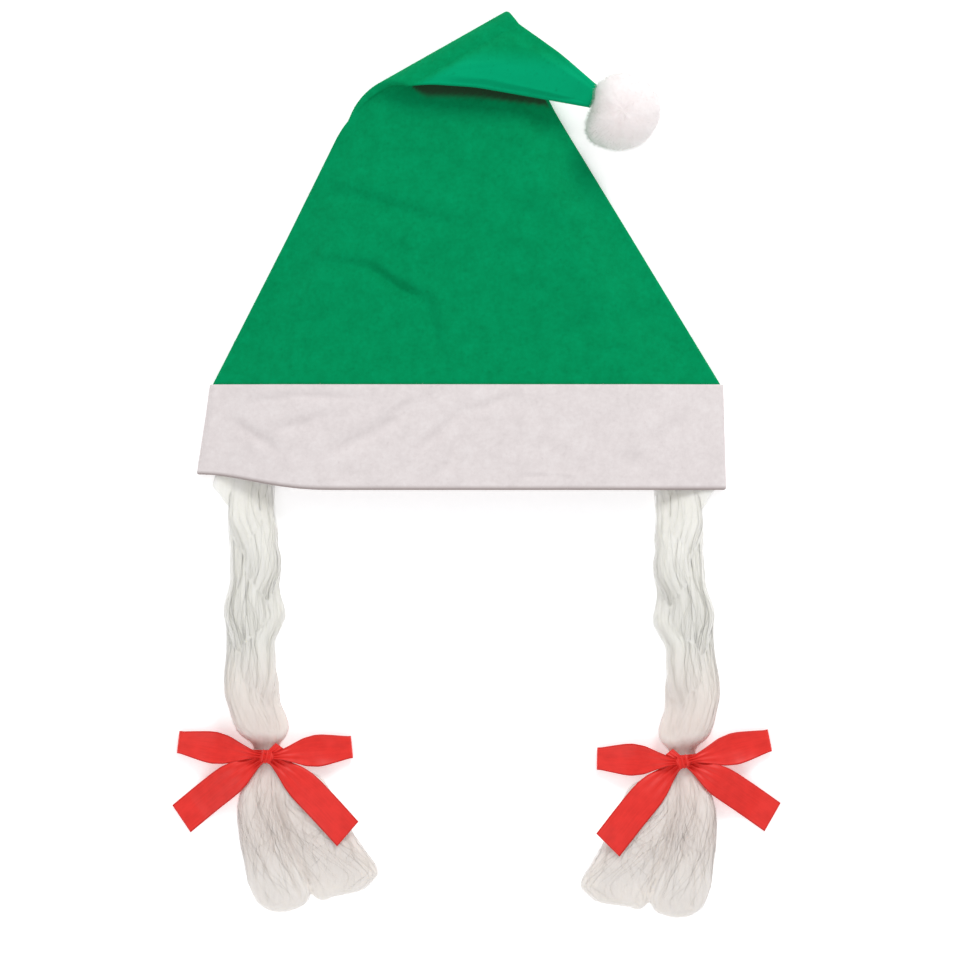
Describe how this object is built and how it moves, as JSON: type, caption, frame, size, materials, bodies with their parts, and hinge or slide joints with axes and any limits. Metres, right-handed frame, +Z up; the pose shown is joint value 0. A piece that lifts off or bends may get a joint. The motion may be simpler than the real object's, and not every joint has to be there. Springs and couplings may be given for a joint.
{
  "type": "christmas hat with braids",
  "caption": "Felt Christmas hat lying flat, its tip folded over to a pompom, with a doubled band and two hair braids tied with ribbon bows.",
  "frame": {"origin": "centre of the hat's footprint on the surface it lies on, braids, bows and pompom included", "axes": "+Z up from the surface, +Y from the braids' ends to the crown's fold, +X to the side on which the pompom lies"},
  "size_m": [0.3352, 0.4978, 0.0402],
  "materials": {
    "green_felt": "matte green felt",
    "white_felt": "matte white felt",
    "white_pile": "fluffy white pile",
    "white_fibre": "soft off-white wig fibre",
    "red_satin": "semi-gloss red satin ribbon"
  },
  "bodies": {
    "root": {"crown": "green_felt", "band": "white_felt", "pompom": "white_pile", "braid_left": "white_fibre", "braid_right": "white_fibre", "ribbon_bow_left": "red_satin", "ribbon_bow_right": "red_satin"}
  },
  "joints": []
}
